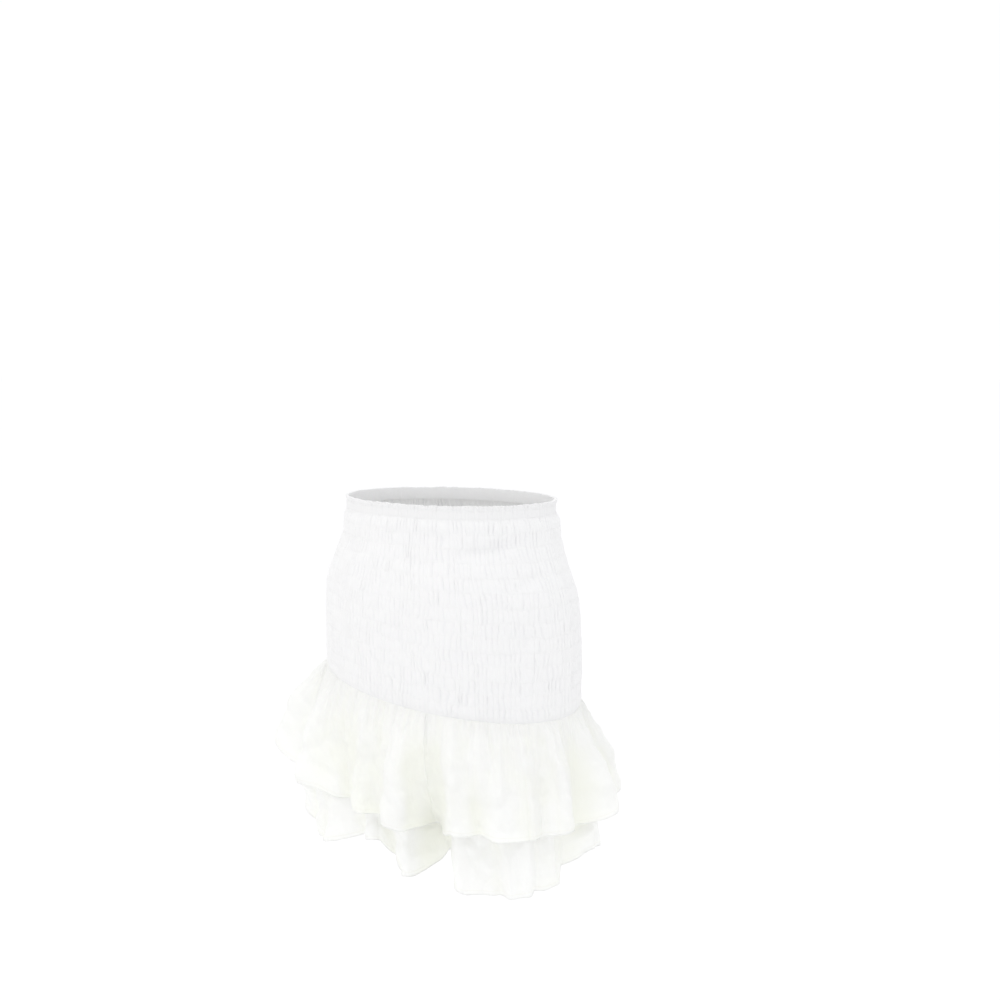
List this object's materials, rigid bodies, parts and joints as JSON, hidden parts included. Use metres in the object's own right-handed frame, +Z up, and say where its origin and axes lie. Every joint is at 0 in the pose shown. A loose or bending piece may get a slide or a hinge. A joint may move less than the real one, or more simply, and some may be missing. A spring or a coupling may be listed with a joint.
{
  "type": "smocked ruffle mini skirt",
  "caption": "High-waisted smocked elastic mini skirt with a two-tier ruffle hem, in the open hollow form it has when worn.",
  "frame": {"origin": "centre of the waist opening, halfway up the elastic casing", "axes": "+Z up along the wearer's body, -Y out of the front of the skirt, +X to the wearer's left"},
  "size_m": [0.4003, 0.3188, 0.3999],
  "materials": {
    "smocked_cotton": "matte, soft white",
    "ivory_chiffon": "matte, softly crinkled, ivory"
  },
  "bodies": {
    "root": {"waist_casing_front": "smocked_cotton", "smocked_yoke_front": "smocked_cotton", "upper_ruffle_front": "ivory_chiffon", "lower_ruffle_front": "ivory_chiffon", "waist_casing_back": "smocked_cotton", "smocked_yoke_back": "smocked_cotton", "upper_ruffle_back": "ivory_chiffon", "lower_ruffle_back": "ivory_chiffon"}
  },
  "joints": []
}
